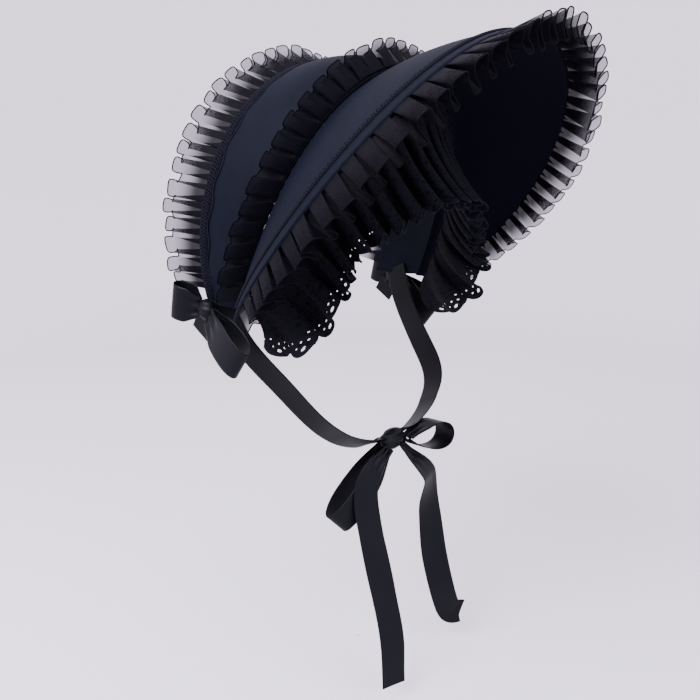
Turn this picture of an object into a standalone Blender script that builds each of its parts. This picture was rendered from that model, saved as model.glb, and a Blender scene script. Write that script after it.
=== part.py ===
"""A ruffled lace bonnet: a curved crown band, a flared brim, ruffles, a lace face frill and ribbon ties.

Metres, +Z up, the wearer faces -Y and the wearer's right is at -X. The origin is on the inner face of
the crown band, at the middle of its top, where the bonnet sits on the head.
"""

import math

import bpy
import numpy as np

# Crown band, the piece that goes over the head from ear to ear
CROWN_LENGTH = 0.077  # front to back at the top
CROWN_END_LENGTH = 0.039  # front to back at the ears
CROWN_HEIGHT = 0.157  # top of the head down to the ear ends
CROWN_FRONT_DROP = 0.0107  # how much lower the front edge is than the origin, at the top
CROWN_REAR_DROP = 0.0038
CROWN_END_SETBACK = 0.0195  # the front corners at the ears lie this far behind the origin
CROWN_FRONT_WIDTH = 0.1876
CROWN_REAR_WIDTH = 0.1898
HEAD_RADIUS = 0.106  # the head's curve from front to back, which the band follows
CROWN_WALL = 0.002
REAR_BOW = -0.0033  # how far the rear edge bows forwards out of its plane

# Brim, which flares from the crown's front edge
BRIM_DEPTH = 0.0905
BRIM_RISE = 0.0147  # how much higher the rim is than the crown's front edge, at the top
BRIM_WIDTH = 0.2452
BRIM_END_REACH = 0.0115  # the rim's ends lie this far in front of the crown's front corners
BRIM_END_DROP = 0.004
BRIM_WALL = 0.003
BRIM_BELLY = 0.004  # the brim bulges outwards by this between its two edges
RIM_BOW = 0.0115

# Ruffles: width, number of folds, how far the folds swing to each side, and the share of the arch they cover
CLOTH_WALL = 0.001
SEWN_GAP = 0.0003
REAR_RUFFLE = dict(width=0.027, folds=35, swing=0.0055, reach=0.955)
SEAM_RUFFLE = dict(width=0.017, folds=32, swing=0.0045, reach=0.965)
RIM_RUFFLE = dict(width=0.024, folds=44, swing=0.0080, reach=0.985)
REAR_LEAN_TOP = 38.0  # degrees that a ruffle stands up from the piece it is sewn to
REAR_LEAN_EAR = 14.0
SEAM_LEAN = 20.0
RIM_LEAN_TOP = 7.0
RIM_LEAN_EAR = -38.0  # the rim ruffle turns in towards the face there
RIM_EAR_WIDTH = 0.6  # its share of the full width at the ears
SEAM_RUFFLE_SETBACK = 0.005  # from the crown's front edge

# Lace frill round the face, and its hang from the middle of the forehead to the ears: the share of the way
# round, the width, the angle below straight ahead, and how much of its direction turns in towards the face.
FRILL_FOLDS = 22
FRILL_SWING = 0.0055
FRILL_REACH = 0.93
FRILL_SETBACK = 0.006  # the frill is sewn this far in front of the crown's edge
SCALLOP_DEPTH = 0.009
FRILL_HANG = (
    dict(station=0.00, width=0.090, below=63.0, inward=0.00),
    dict(station=0.35, width=0.080, below=63.0, inward=0.18),
    dict(station=0.60, width=0.064, below=55.0, inward=0.22),
    dict(station=0.80, width=0.062, below=31.0, inward=0.26),
    dict(station=0.93, width=0.067, below=17.0, inward=0.20),
)

# Braids
REAR_BRAID_WIDTH = 0.009
REAR_BRAID_INSET = 0.0015
BRIM_BRAID_WIDTH = 0.005
BRIM_BRAID_INSET = 0.0075  # from the rim to the braid's front edge

# Satin bows at the ears
SIDE_RIBBON_WIDTH = 0.024
SIDE_KNOT_RADIUS = 0.0075
SIDE_KNOT_STAND_OFF = 0.0006
SIDE_KNOT_STATION = 0.99  # share of the way from the top of the arch to its end
SIDE_KNOT_DROP = 0.004
SIDE_REAR_LOOP = dict(length=0.023, opening=0.013, way=(0.20, 0.95, 0.22))
SIDE_FRONT_LOOP = dict(length=0.045, opening=0.012, way=(0.06, -0.78, -0.62))
SIDE_END_LENGTH = 0.016

# Ties and the bow under the chin
RIBBON_WIDTH = 0.020
CHIN_KNOT_RADIUS = 0.008
CHIN_DROP = 0.105  # from the crown's lower ends down to the chin knot
CHIN_REACH = 0.0520  # from the crown's front corners forwards to the chin knot
CHIN_LOOP_RIGHT = dict(length=0.071, opening=0.017, way=(-0.74, 0.06, -0.67))
CHIN_LOOP_LEFT = dict(length=0.040, opening=0.020, way=(0.98, -0.18, -0.10))

# The ties' route, as shares of the way from the crown band's end to the chin knot
TIE_STATION = 0.45  # where on the band's end the tie starts, from its rear corner to its front one
TIE_ROUTE = (
    dict(across=0.00, forward=0.00, down=0.00),
    dict(across=0.08, forward=0.25, down=0.31),
    dict(across=0.27, forward=0.80, down=0.68),
    dict(across=0.50, forward=0.96, down=0.88),
    dict(across=0.78, forward=1.00, down=0.98),
    dict(across=1.00, forward=1.00, down=1.00),
)

# The tails' routes down from the chin knot: how far to the wearer's left, forwards and down
TAIL_RIGHT = (
    dict(left=-0.014, forward=0.005, down=0.008),
    dict(left=-0.032, forward=0.003, down=0.026),
    dict(left=-0.035, forward=0.010, down=0.060),
    dict(left=-0.034, forward=0.022, down=0.105),
    dict(left=-0.035, forward=0.031, down=0.140),
    dict(left=-0.039, forward=0.036, down=0.170),
)
TAIL_LEFT = (
    dict(left=0.014, forward=0.020, down=0.012),
    dict(left=0.019, forward=0.021, down=0.030),
    dict(left=0.024, forward=0.018, down=0.060),
    dict(left=0.029, forward=0.022, down=0.105),
    dict(left=0.041, forward=0.028, down=0.152),
    dict(left=0.050, forward=0.034, down=0.156),
)

# How finely the solids are faceted
CROWN_STEPS = 26
BRIM_STEPS = 30
FOLD_STEPS = 6

# The three arches that carry everything: (y, z) of the top and of the ends, half the width, how far round
# its ellipse each side goes in degrees, and how far it bows out of its plane.
FRONT_TOP = (-0.508 * CROWN_LENGTH, -CROWN_FRONT_DROP)
FRONT_END = (CROWN_END_SETBACK, -CROWN_HEIGHT)
ARCHES = {
    "rear": dict(
        top=(FRONT_TOP[0] + CROWN_LENGTH, -CROWN_REAR_DROP),
        end=(CROWN_END_SETBACK + CROWN_END_LENGTH, -CROWN_HEIGHT),
        half_width=CROWN_REAR_WIDTH / 2,
        sweep=111.0,
        bow=REAR_BOW,
    ),
    "seam": dict(top=FRONT_TOP, end=FRONT_END, half_width=CROWN_FRONT_WIDTH / 2, sweep=97.0, bow=0.0),
    "rim": dict(
        top=(FRONT_TOP[0] - math.sqrt(BRIM_DEPTH**2 - BRIM_RISE**2), FRONT_TOP[1] + BRIM_RISE),
        end=(FRONT_END[0] - BRIM_END_REACH, FRONT_END[1] - BRIM_END_DROP),
        half_width=BRIM_WIDTH / 2,
        sweep=116.0,
        bow=RIM_BOW,
    ),
}

COLOURS = {
    "twill": ((0.012, 0.014, 0.024, 1.0), 0.62),
    "organza": ((0.018, 0.017, 0.024, 1.0), 0.45),
    "lace": ((0.010, 0.010, 0.015, 1.0), 0.75),
    "satin": ((0.010, 0.011, 0.017, 1.0), 0.38),
}


def unit(vectors):
    """The same directions with a length of 1."""
    vectors = np.asarray(vectors, float)
    return vectors / np.linalg.norm(vectors, axis=-1, keepdims=True)


def arch(name, along):
    """Points of one of the arches; along runs from -1 at the wearer's right ear to 1 at the left."""
    a = ARCHES[name]
    sweep = math.radians(a["sweep"])
    angle = np.asarray(along, float) * sweep
    top, end = np.array(a["top"]), np.array(a["end"])
    rise = (np.cos(angle) - math.cos(sweep)) / (1 - math.cos(sweep))
    up = (top - end) / np.linalg.norm(top - end)
    forward = np.array([-up[1], up[0]])
    plane = end + rise[..., None] * (top - end) + (4 * rise * (1 - rise) * a["bow"])[..., None] * forward
    return np.concatenate([(a["half_width"] * np.sin(angle))[..., None], plane], axis=-1)


def crown_point(along, across):
    """The crown band's inner face; across runs from 0 at the rear edge to 1 at the front edge."""
    along, across = np.broadcast_arrays(along, across)
    rear, front = arch("rear", along), arch("seam", along)
    chord = np.linalg.norm(front - rear, axis=-1)
    bulge = 4 * across * (1 - across) * chord**2 / (8 * HEAD_RADIUS)
    outward = unit((rear + front) / 2 - np.array([0.0, FRONT_END[0], -0.62 * CROWN_HEIGHT]))
    return rear + across[..., None] * (front - rear) + bulge[..., None] * outward


def brim_point(along, across):
    """The brim's outer face; across runs from 0 at the crown's front edge to 1 at the rim."""
    along, across = np.broadcast_arrays(along, across)
    seam, rim = arch("seam", along), arch("rim", along)
    length = np.linalg.norm(rim - seam, axis=-1)
    tangent = unit(arch("seam", along + 0.01) - arch("seam", along - 0.01))
    outward = unit(np.cross(unit(rim - seam), tangent))
    belly = 4 * across * (1 - across) * BRIM_BELLY * length / BRIM_DEPTH
    return seam + across[..., None] * (rim - seam) + belly[..., None] * outward


def brim_length(along):
    """The brim's depth at each station."""
    return np.linalg.norm(arch("rim", along) - arch("seam", along), axis=-1)


def crown_length(along):
    """The crown band's length from front to back at each station."""
    return np.linalg.norm(arch("rear", along) - arch("seam", along), axis=-1)


def surface_frame(surface, along, across):
    """Points of a surface with its outward normal and its forward direction there."""
    here = surface(along, across)
    forward = unit(surface(along, across + 0.01) - surface(along, across - 0.01))
    sideways = unit(surface(along + 0.01, across) - surface(along - 0.01, across))
    return here, unit(np.cross(forward, sideways)), forward


def material(name):
    """The Principled BSDF of one finish, made once."""
    made = bpy.data.materials.get(name)
    if made is None:
        colour, roughness = COLOURS[name]
        made = bpy.data.materials.new(name)
        made.use_nodes = True
        shader = made.node_tree.nodes["Principled BSDF"]
        shader.inputs["Base Color"].default_value = colour
        shader.inputs["Roughness"].default_value = roughness
        made.diffuse_color = colour
    return made


def sheet_object(name, grid, finish, wall, side, holes=frozenset()):
    """A sheet of quads over a grid of points, thickened by Solidify. holes are (row, column) left out."""
    rows, columns = grid.shape[:2]
    faces = [
        (r * columns + c, r * columns + c + 1, (r + 1) * columns + c + 1, (r + 1) * columns + c)
        for r in range(rows - 1)
        for c in range(columns - 1)
        if (r, c) not in holes
    ]
    mesh = bpy.data.meshes.new(name)
    mesh.from_pydata([tuple(p) for p in grid.reshape(-1, 3)], [], faces)
    mesh.materials.append(material(finish))
    mesh.shade_smooth()
    piece = bpy.data.objects.new(name, mesh)
    bpy.data.collections["lace_bonnet"].objects.link(piece)
    thicken = piece.modifiers.new("wall", "SOLIDIFY")
    thicken.thickness = wall
    thicken.offset = side
    return piece


def make_crown_band():
    """The band itself, thickened outwards from the face that lies on the head."""
    along = np.linspace(-1, 1, CROWN_STEPS + 1)[:, None]
    across = np.array([0.0, 0.15, 0.5, 0.85, 1.0])[None, :]
    sheet_object("crown_band", crown_point(along, across), "twill", CROWN_WALL, 1.0)


def make_brim():
    """The stiff brim, thickened inwards from its outer face, a small gap in front of the crown band."""
    along = np.linspace(-1, 1, BRIM_STEPS + 1)[:, None]
    start = 2 * SEWN_GAP / brim_length(along)
    across = start + (1 - start) * np.array([0.0, 0.33, 0.67, 1.0])[None, :]
    sheet_object("brim", brim_point(along, across), "twill", BRIM_WALL, -1.0)


def make_rear_braid():
    """A flat lace braid on the crown band's outer face, along its rear edge."""
    along = np.linspace(-1, 1, CROWN_STEPS + 1)[:, None]
    across = (REAR_BRAID_INSET + np.array([0.0, 0.5, 1.0])[None, :] * REAR_BRAID_WIDTH) / crown_length(along)
    here, outward, _ = surface_frame(crown_point, along, across)
    sheet_object("rear_braid", here + (CROWN_WALL + 2 * SEWN_GAP) * outward, "lace", CLOTH_WALL, 1.0)


def make_brim_braid():
    """A narrow lace braid on the brim's outer face, set back from the rim."""
    along = np.linspace(-0.97, 0.97, BRIM_STEPS + 1)[:, None]
    from_rim = BRIM_BRAID_INSET + np.array([1.0, 0.0])[None, :] * BRIM_BRAID_WIDTH
    across = 1 - np.minimum(from_rim / brim_length(along), np.array([0.65, 0.45])[None, :])
    here, outward, _ = surface_frame(brim_point, along, across)
    sheet_object("brim_braid", here + 2 * SEWN_GAP * outward, "lace", CLOTH_WALL, 1.0)


def folds(stations, count, swing):
    """How far a gathered edge swings to each side, calmer towards both ends."""
    turn = stations / np.abs(stations).max()
    calm = 0.35 + 0.65 * np.clip((1 - np.abs(turn)) / 0.08, 0, 1)
    return swing * calm * np.sin(math.pi * count * (turn + 1))


def leaning(outward, forward, degrees):
    """A direction turned from forward towards outward, and the outward one turned with it."""
    lean = np.radians(degrees)[:, None]
    return np.cos(lean) * forward + np.sin(lean) * outward, np.cos(lean) * outward - np.sin(lean) * forward


def ruffle_stations(ruffle):
    """Stations along an arch for one ruffle, with a fixed number to each fold."""
    return np.linspace(-ruffle["reach"], ruffle["reach"], FOLD_STEPS * ruffle["folds"] + 1)


def make_ruffle(name, ruffle, foot, out, side, ear_width=1.0):
    """A gathered strip: flat where it is sewn, swinging to each side and rolling at its free edge.

    ear_width is the share of its full width that is left at both ends.
    """
    stations = ruffle_stations(ruffle)
    width = ruffle["width"] * (1 - (1 - ear_width) * np.clip(2.2 * np.abs(stations) - 1.2, 0, 1))
    swing = folds(stations, ruffle["folds"], ruffle["swing"])[:, None]
    roll = 0.16 * ruffle["swing"] * np.sin(2 * math.pi * ruffle["folds"] * (stations / ruffle["reach"] + 1))
    along = unit(np.cross(side, out))
    along = along * np.sign(np.sum(along * np.gradient(foot, axis=0), axis=-1))[:, None]
    edge = foot + width[:, None] * out + swing * side - roll[:, None] * along
    sheet_object(name, np.stack([foot, edge], axis=1), "organza", CLOTH_WALL, 0.0)


def make_rear_ruffle():
    """Organza ruffle behind the crown band. It stands up at the top and lies flatter at the ears."""
    stations = ruffle_stations(REAR_RUFFLE)
    here, outward, forward = surface_frame(crown_point, stations, 0 * stations)
    lean = REAR_LEAN_TOP + (REAR_LEAN_EAR - REAR_LEAN_TOP) * stations**4
    out, side = leaning(outward, -forward, lean)
    foot = here + 0.5 * CROWN_WALL * outward - (0.5 * CLOTH_WALL + 2 * SEWN_GAP) * forward
    make_ruffle("rear_ruffle", REAR_RUFFLE, foot, out, side)


def make_seam_ruffle():
    """Organza ruffle sewn on the front of the crown band, leaning back over it."""
    stations = ruffle_stations(SEAM_RUFFLE)
    across = 1 - SEAM_RUFFLE_SETBACK / crown_length(stations)
    here, outward, forward = surface_frame(crown_point, stations, across)
    out, side = leaning(outward, -forward, SEAM_LEAN + 0 * stations)
    foot = here + (CROWN_WALL + CLOTH_WALL + SEWN_GAP) * outward
    make_ruffle("seam_ruffle", SEAM_RUFFLE, foot, out, side)


def make_rim_ruffle():
    """Organza ruffle that carries the brim on past its rim and turns in a little at the sides."""
    stations = ruffle_stations(RIM_RUFFLE)
    rim, outward, forward = surface_frame(brim_point, stations, 1 + 0 * stations)
    lean = RIM_LEAN_TOP + (RIM_LEAN_EAR - RIM_LEAN_TOP) * np.abs(stations) ** 0.7
    along = unit(np.gradient(rim, axis=0))
    square = unit(forward - np.sum(forward * along, axis=-1, keepdims=True) * along)
    out, side = leaning(outward, square, lean)
    foot = rim - 0.5 * BRIM_WALL * outward + (0.5 * CLOTH_WALL + 2 * SEWN_GAP) * forward
    make_ruffle("rim_ruffle", RIM_RUFFLE, foot, out, side, RIM_EAR_WIDTH)


def hang_of(column, stations):
    """One column of the frill's table at each station."""
    known = [row["station"] for row in FRILL_HANG]
    return np.interp(np.abs(stations), known, [row[column] for row in FRILL_HANG])


def make_lace_frill():
    """Gathered lace sewn inside the brim. It hangs round the face and has a hole in each scallop."""
    stations = np.linspace(-FRILL_REACH, FRILL_REACH, FOLD_STEPS * FRILL_FOLDS + 1)
    below, inward = np.radians(hang_of("below", stations)), hang_of("inward", stations)
    down = unit(np.stack([-np.sign(stations) * inward, -np.cos(below), -np.sin(below)], axis=-1))
    seat, outward, forward = surface_frame(brim_point, stations, FRILL_SETBACK / brim_length(stations))
    foot = seat - (BRIM_WALL + CLOTH_WALL + SEWN_GAP) * outward
    side = unit(np.cross(down, np.cross(outward, forward)))
    swing = folds(stations, FRILL_FOLDS, FRILL_SWING)
    scallop = np.abs(np.sin(math.pi * FRILL_FOLDS * (stations / FRILL_REACH + 1) / 2))
    rows = []
    for share in (0.0, 0.4, 0.82, 0.91, 1.0):
        notch = SCALLOP_DEPTH * (1 - scallop) * max(0.0, (share - 0.4) / 0.6)
        length = share * hang_of("width", stations) - notch
        drape = 4 * share * (1 - share) * 0.009 + swing * share**0.7
        rows.append(foot + length[:, None] * down - drape[:, None] * side)
    cut = (FOLD_STEPS // 2 - 1, FOLD_STEPS // 2)
    holes = frozenset((row, 2) for row in range(len(stations) - 1) if row % FOLD_STEPS in cut)
    sheet_object("lace_frill", np.stack(rows, axis=1), "lace", CLOTH_WALL, 0.0, holes)


def smooth_route(points, steps):
    """A smooth curve through route points, at even steps of the route's numbering."""
    points = np.asarray(points, float)
    padded = np.concatenate([2 * points[:1] - points[1:2], points, 2 * points[-1:] - points[-2:-1]])
    where = np.linspace(0, len(points) - 1, steps + 1)
    index = np.minimum(where.astype(int), len(points) - 2)
    t = (where - index)[:, None]
    a, b, c, d = (padded[index + k] for k in range(4))
    return 0.5 * (2 * b + (c - a) * t + (2 * a - 5 * b + 4 * c - d) * t**2 + (3 * b - a - 3 * c + d) * t**3)


def off_knot(points, knot):
    """How far points lie outside a knot's rounded surface, near enough for points that are close to it."""
    scaled = (points - knot["centre"]) / knot["size"]
    reach = np.linalg.norm(scaled, axis=-1)
    return reach * (reach - 1) / np.linalg.norm(scaled / knot["size"], axis=-1)


def seated(grid, knot, end, share):
    """A ribbon moved towards its knot until it is sewn on. end is the row that is tucked under the knot,
    and share is how much of the move each row makes."""
    way = unit(knot["centre"] - grid[end].mean(axis=0))
    move = way * share[:, None, None]
    between = np.linspace(0, 1, 9)[:, None]
    near, far = -2 * CLOTH_WALL, knot["size"].max() + RIBBON_WIDTH
    for _ in range(24):
        middle = (near + far) / 2
        moved = grid + middle * move
        points = moved[:, :1] * (1 - between) + moved[:, 1:] * between
        if off_knot(points, knot).min() > 0.5 * CLOTH_WALL + SEWN_GAP:
            near = middle
        else:
            far = middle
    return grid + near * move


def make_ribbon(name, route, facing, width, steps, knot, end, reach):
    """A flat ribbon along a route, tucked under a knot at one end. facing gives the way its flat side
    looks at each route point, and reach is the share of its length that bends to meet the knot."""
    line = smooth_route(route, steps)
    tangent = unit(np.gradient(line, axis=0))
    breadth = unit(np.cross(tangent, smooth_route(facing, steps)))
    grid = np.stack([line - 0.5 * width * breadth, line + 0.5 * width * breadth], axis=1)
    away = np.abs(np.linspace(0, 1, steps + 1) - (end != 0))
    share = np.clip(1 - away / reach, 0, 1)
    share = share**2 * (3 - 2 * share)
    sheet_object(name, seated(grid, knot, end, share), "satin", CLOTH_WALL, 0.0)


def make_loop(name, start, loop, way, opening_way, width, steps, knot):
    """A bow's loop: a teardrop that leaves the knot, turns at its tip and comes back."""
    out = unit(way)
    opening_way = np.asarray(opening_way, float)
    opening_way = unit(opening_way - out * (out @ opening_way))
    turn = np.radians(np.linspace(16, 344, steps + 1))
    reach = loop["length"] * (1 - np.cos(turn)) / 2
    spread = 0.65 * loop["opening"] * np.sin(turn) * np.sin(turn / 2)
    line = np.asarray(start) + (reach - reach[0])[:, None] * out + spread[:, None] * opening_way
    breadth = unit(np.cross(out, opening_way))
    grid = np.stack([line - 0.5 * width * breadth, line + 0.5 * width * breadth], axis=1)
    sheet_object(name, seated(grid, knot, 0, np.ones(steps + 1)), "satin", CLOTH_WALL, 0.0)


def make_knot(name, knot):
    """A knot: a rounded lump, flatter against what it sits on."""
    bpy.ops.mesh.primitive_uv_sphere_add(segments=12, ring_count=8, radius=1.0, location=knot["centre"])
    lump = bpy.context.object
    lump.name = name
    lump.data.name = name
    lump.scale = knot["size"]
    lump.data.materials.append(material("satin"))
    lump.data.shade_smooth()
    bpy.ops.object.transform_apply(location=False, rotation=False, scale=True)
    for collection in list(lump.users_collection):
        collection.objects.unlink(lump)
    bpy.data.collections["lace_bonnet"].objects.link(lump)


def mirrored(vector, side):
    """A direction or point given for the wearer's left, turned over to the right where side is -1."""
    return np.array([side * vector[0], vector[1], vector[2]])


def side_knot(side):
    """The side knot sits outside the crown band's lower end, towards the rear."""
    here, outward, _ = surface_frame(crown_point, np.array([SIDE_KNOT_STATION * side]), np.array([0.30]))
    stand_off = CROWN_WALL + SIDE_KNOT_STAND_OFF + 0.75 * SIDE_KNOT_RADIUS
    return dict(
        centre=(here + stand_off * outward)[0] - np.array([0.0, 0.0, SIDE_KNOT_DROP]),
        size=np.array([0.75 * SIDE_KNOT_RADIUS, SIDE_KNOT_RADIUS, SIDE_KNOT_RADIUS]),
    )


def make_side_bow(side, word):
    """The bow at one ear: a knot, a loop to the rear, a loop to the front and a short cut end."""
    knot = side_knot(side)
    make_knot(f"side_bow_knot_{word}", knot)
    clear = SIDE_KNOT_RADIUS + 2 * SEWN_GAP
    sideways = mirrored((1.0, 0.0, 0.0), side)
    for which, loop in (("rear", SIDE_REAR_LOOP), ("front", SIDE_FRONT_LOOP)):
        way = unit(mirrored(loop["way"], side))
        start = knot["centre"] + clear * way + 0.002 * sideways
        make_loop(f"side_bow_{which}_loop_{word}", start, loop, way, sideways, SIDE_RIBBON_WIDTH, 12, knot)
    way = unit(mirrored((0.05, 0.52, -0.85), side))
    start = knot["centre"] + 0.9 * clear * way - 0.003 * sideways
    route = [start + share * SIDE_END_LENGTH * way for share in (0.0, 0.5, 1.0)]
    make_ribbon(f"side_bow_end_{word}", route, [sideways] * 3, 0.75 * SIDE_RIBBON_WIDTH, 4, knot, 0, 2.0)


def chin_knot():
    """The chin knot hangs on the midline, below and in front of the crown's ends."""
    return dict(
        centre=np.array([0.0, FRONT_END[0] - CHIN_REACH, FRONT_END[1] - CHIN_DROP]),
        size=CHIN_KNOT_RADIUS * np.array([1.5, 0.8, 1.0]),
    )


def make_tie(side, word):
    """The ribbon from the crown band's end, down the cheek and under the chin to the chin knot."""
    band_end = crown_point(np.array([1.0]), np.array([TIE_STATION]))[0]
    start = mirrored(band_end + np.array([0.5 * CROWN_WALL, 0.0, -5 * CLOTH_WALL]), side)
    knot = chin_knot()
    end = knot["centre"] + mirrored((1.5 * CHIN_KNOT_RADIUS + 2 * SEWN_GAP, 0.004, 0.002), side)
    shares = np.array([(row["across"], row["forward"], row["down"]) for row in TIE_ROUTE])
    route = list(start + shares * (end - start))
    cheek, under = mirrored((1.0, 0.0, 0.0), side), np.array([0.0, -0.5, -0.87])
    facing = [cheek, cheek, 0.8 * cheek + 0.4 * under, 0.4 * cheek + 0.7 * under, under, under]
    make_ribbon(f"tie_{word}", route, facing, RIBBON_WIDTH, 16, knot, -1, 0.4)


def make_chin_bow():
    """The bow under the chin: a knot, two loops and two long tails."""
    knot = chin_knot()
    make_knot("chin_knot", knot)
    for word, loop, (left, back, up), opening_way in (
        ("right", CHIN_LOOP_RIGHT, (-0.3, 1.2, -1.5), (-0.3, -0.95, 0.0)),
        ("left", CHIN_LOOP_LEFT, (1.3, -1.7, 0.1), (0.1, 0.1, 1.0)),
    ):
        start = knot["centre"] + CHIN_KNOT_RADIUS * np.array([left, back, up])
        make_loop(f"chin_loop_{word}", start, loop, loop["way"], opening_way, RIBBON_WIDTH, 16, knot)
    for name, rows, first, last in (
        ("tail_right", TAIL_RIGHT, 16.0, 16.0),
        ("tail_left", TAIL_LEFT, -38.0, 40.0),
    ):
        route = [knot["centre"] + np.array([row["left"], -row["forward"], -row["down"]]) for row in rows]
        turn = np.radians(np.interp(np.arange(len(rows)), (0, 3, 5), (first, last, last)))
        facing = np.stack([-np.sin(turn), -np.cos(turn), 0 * turn], axis=-1)
        make_ribbon(name, route, facing, RIBBON_WIDTH, 15, knot, 0, 0.20)


def main():
    """Clears the scene and builds every piece of the bonnet in its own collection."""
    for old in list(bpy.data.objects):
        bpy.data.objects.remove(old)
    collection = bpy.data.collections.new("lace_bonnet")
    bpy.context.scene.collection.children.link(collection)
    make_crown_band()
    make_brim()
    make_rear_braid()
    make_brim_braid()
    make_rear_ruffle()
    make_seam_ruffle()
    make_rim_ruffle()
    make_lace_frill()
    for side, word in ((-1, "right"), (1, "left")):
        make_side_bow(side, word)
        make_tie(side, word)
    make_chin_bow()


main()
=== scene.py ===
"""The look of a black lace bonnet: navy twill, sheer organza ruffles, scalloped lace and satin ribbon.

Metres, +Z up, the wearer faces -Y and the wearer's right is at -X. The origin is where the bonnet sits on
the head.
"""

import math

import bpy
import numpy as np
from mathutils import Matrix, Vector


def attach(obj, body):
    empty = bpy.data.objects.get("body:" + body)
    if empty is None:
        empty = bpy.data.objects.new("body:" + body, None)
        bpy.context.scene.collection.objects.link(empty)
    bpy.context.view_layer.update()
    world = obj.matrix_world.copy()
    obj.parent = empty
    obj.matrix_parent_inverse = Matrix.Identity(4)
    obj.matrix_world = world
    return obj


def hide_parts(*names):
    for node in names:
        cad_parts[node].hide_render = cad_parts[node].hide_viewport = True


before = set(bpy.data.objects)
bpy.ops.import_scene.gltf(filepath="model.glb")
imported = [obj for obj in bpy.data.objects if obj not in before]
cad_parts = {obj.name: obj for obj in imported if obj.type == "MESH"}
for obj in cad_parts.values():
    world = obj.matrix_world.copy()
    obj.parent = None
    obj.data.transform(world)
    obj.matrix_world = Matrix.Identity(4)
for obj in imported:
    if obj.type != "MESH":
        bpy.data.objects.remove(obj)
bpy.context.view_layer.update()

TURN = 2 * math.pi

# The camera stands to the wearer's front right, a little above the crown's middle and looking down
CAMERA_PLACE = (-0.3762, -0.3298, -0.0644)
CAMERA_HEADING = 47.96  # degrees from straight back towards the wearer's left
CAMERA_PITCH = 15.25  # degrees below level
CAMERA_LENS = 36.0  # mm, on a sensor of the same width

# Crown band
CROWN_LENGTH = 0.077
CROWN_END_LENGTH = 0.039
CROWN_HEIGHT = 0.157
CROWN_FRONT_DROP = 0.0107
CROWN_REAR_DROP = 0.0038
CROWN_END_SETBACK = 0.0195
CROWN_FRONT_WIDTH = 0.1876
CROWN_REAR_WIDTH = 0.1898
HEAD_RADIUS = 0.106
CROWN_WALL = 0.002
REAR_BOW = -0.0033

# Brim
BRIM_DEPTH = 0.0905
BRIM_RISE = 0.0147
BRIM_WIDTH = 0.2452
BRIM_END_REACH = 0.0115
BRIM_END_DROP = 0.004
BRIM_WALL = 0.003
BRIM_BELLY = 0.004
RIM_BOW = 0.0115

# Ruffles: width, folds, how far they swing, the share of the arch they cover, how far a fold's loop laps
# over its neighbours, as a share of a fold, and how far the folds lie to one side, as a share of their swing
CLOTH_WALL = 0.001
SEWN_GAP = 0.0003
REAR_RUFFLE = dict(width=0.027, folds=35, swing=0.0055, reach=0.955, overlap=0.17, lift=0.0)
SEAM_RUFFLE = dict(width=0.0165, folds=32, swing=0.0045, reach=0.965, overlap=0.12, lift=0.55)
RIM_RUFFLE = dict(width=0.024, folds=43, swing=0.0075, reach=0.950, overlap=0.12, lift=0.0)
REAR_LEAN_TOP = 38.0
REAR_LEAN_EAR = 14.0
SEAM_LEAN = 20.0
RIM_LEAN_TOP = 7.0
RIM_LEAN_EAR = -38.0
RIM_EAR_WIDTH = 0.6  # of the ruffle's full width
SEAM_RUFFLE_SETBACK = 0.0008
HEM_RADIUS = 0.0004

# Lace frill
FRILL_FOLDS = 22
FRILL_SWING = 0.0062
FRILL_REACH = 0.985
FRILL_SETBACK = 0.006
FRILL_SCALLOPS = 42
SCALLOP_PITCH = 0.015  # along the flat lace
LACE_LENGTH = FRILL_SCALLOPS * SCALLOP_PITCH
SCALLOP_DEPTH = 0.0055
SCALLOP_ROUNDNESS = 1.7
LACE_CELL = 0.0007
LACE_NET_TOP = 0.0140  # the openwork reaches this far up from the scalloped edge
LACE_DEPTH = 0.100  # more than the frill's largest width
LACE_ROWS = 34
LACE_WALL = 0.0004
CELL_SIZE = 0.003  # of the raised thread work
# Openings in each scallop of the flat lace: across from its middle line, up from its tip, and radius
LACE_HOLES = (
    (0.0, 0.0036, 0.0011),
    (0.0027, 0.0063, 0.00062),
    (-0.0027, 0.0063, 0.00062),
    (0.0075, 0.0098, 0.00062),
    (0.0, 0.0080, 0.00062),
    (0.00375, 0.0108, 0.0006),
    (-0.00375, 0.0108, 0.0006),
)
# Rings of cord in each scallop, and the cords that run along the lace
LACE_RINGS = (dict(up=0.0036, radius=0.0013, cord=0.0004), dict(up=0.0180, radius=0.0012, cord=0.0004))
EDGE_CORD = dict(up=0.0003, radius=0.0005)
WAVY_CORD = dict(up=0.0144, wave=0.0011, radius=0.00038)
FRILL_HANG = (
    dict(station=0.00, width=0.090, below=63.0, inward=0.00),
    dict(station=0.35, width=0.080, below=63.0, inward=0.18),
    dict(station=0.60, width=0.064, below=55.0, inward=0.22),
    dict(station=0.80, width=0.062, below=31.0, inward=0.26),
    dict(station=0.90, width=0.060, below=38.0, inward=0.20),
    dict(station=0.95, width=0.047, below=55.0, inward=0.12),
    dict(station=0.985, width=0.031, below=72.0, inward=0.10),
)

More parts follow.
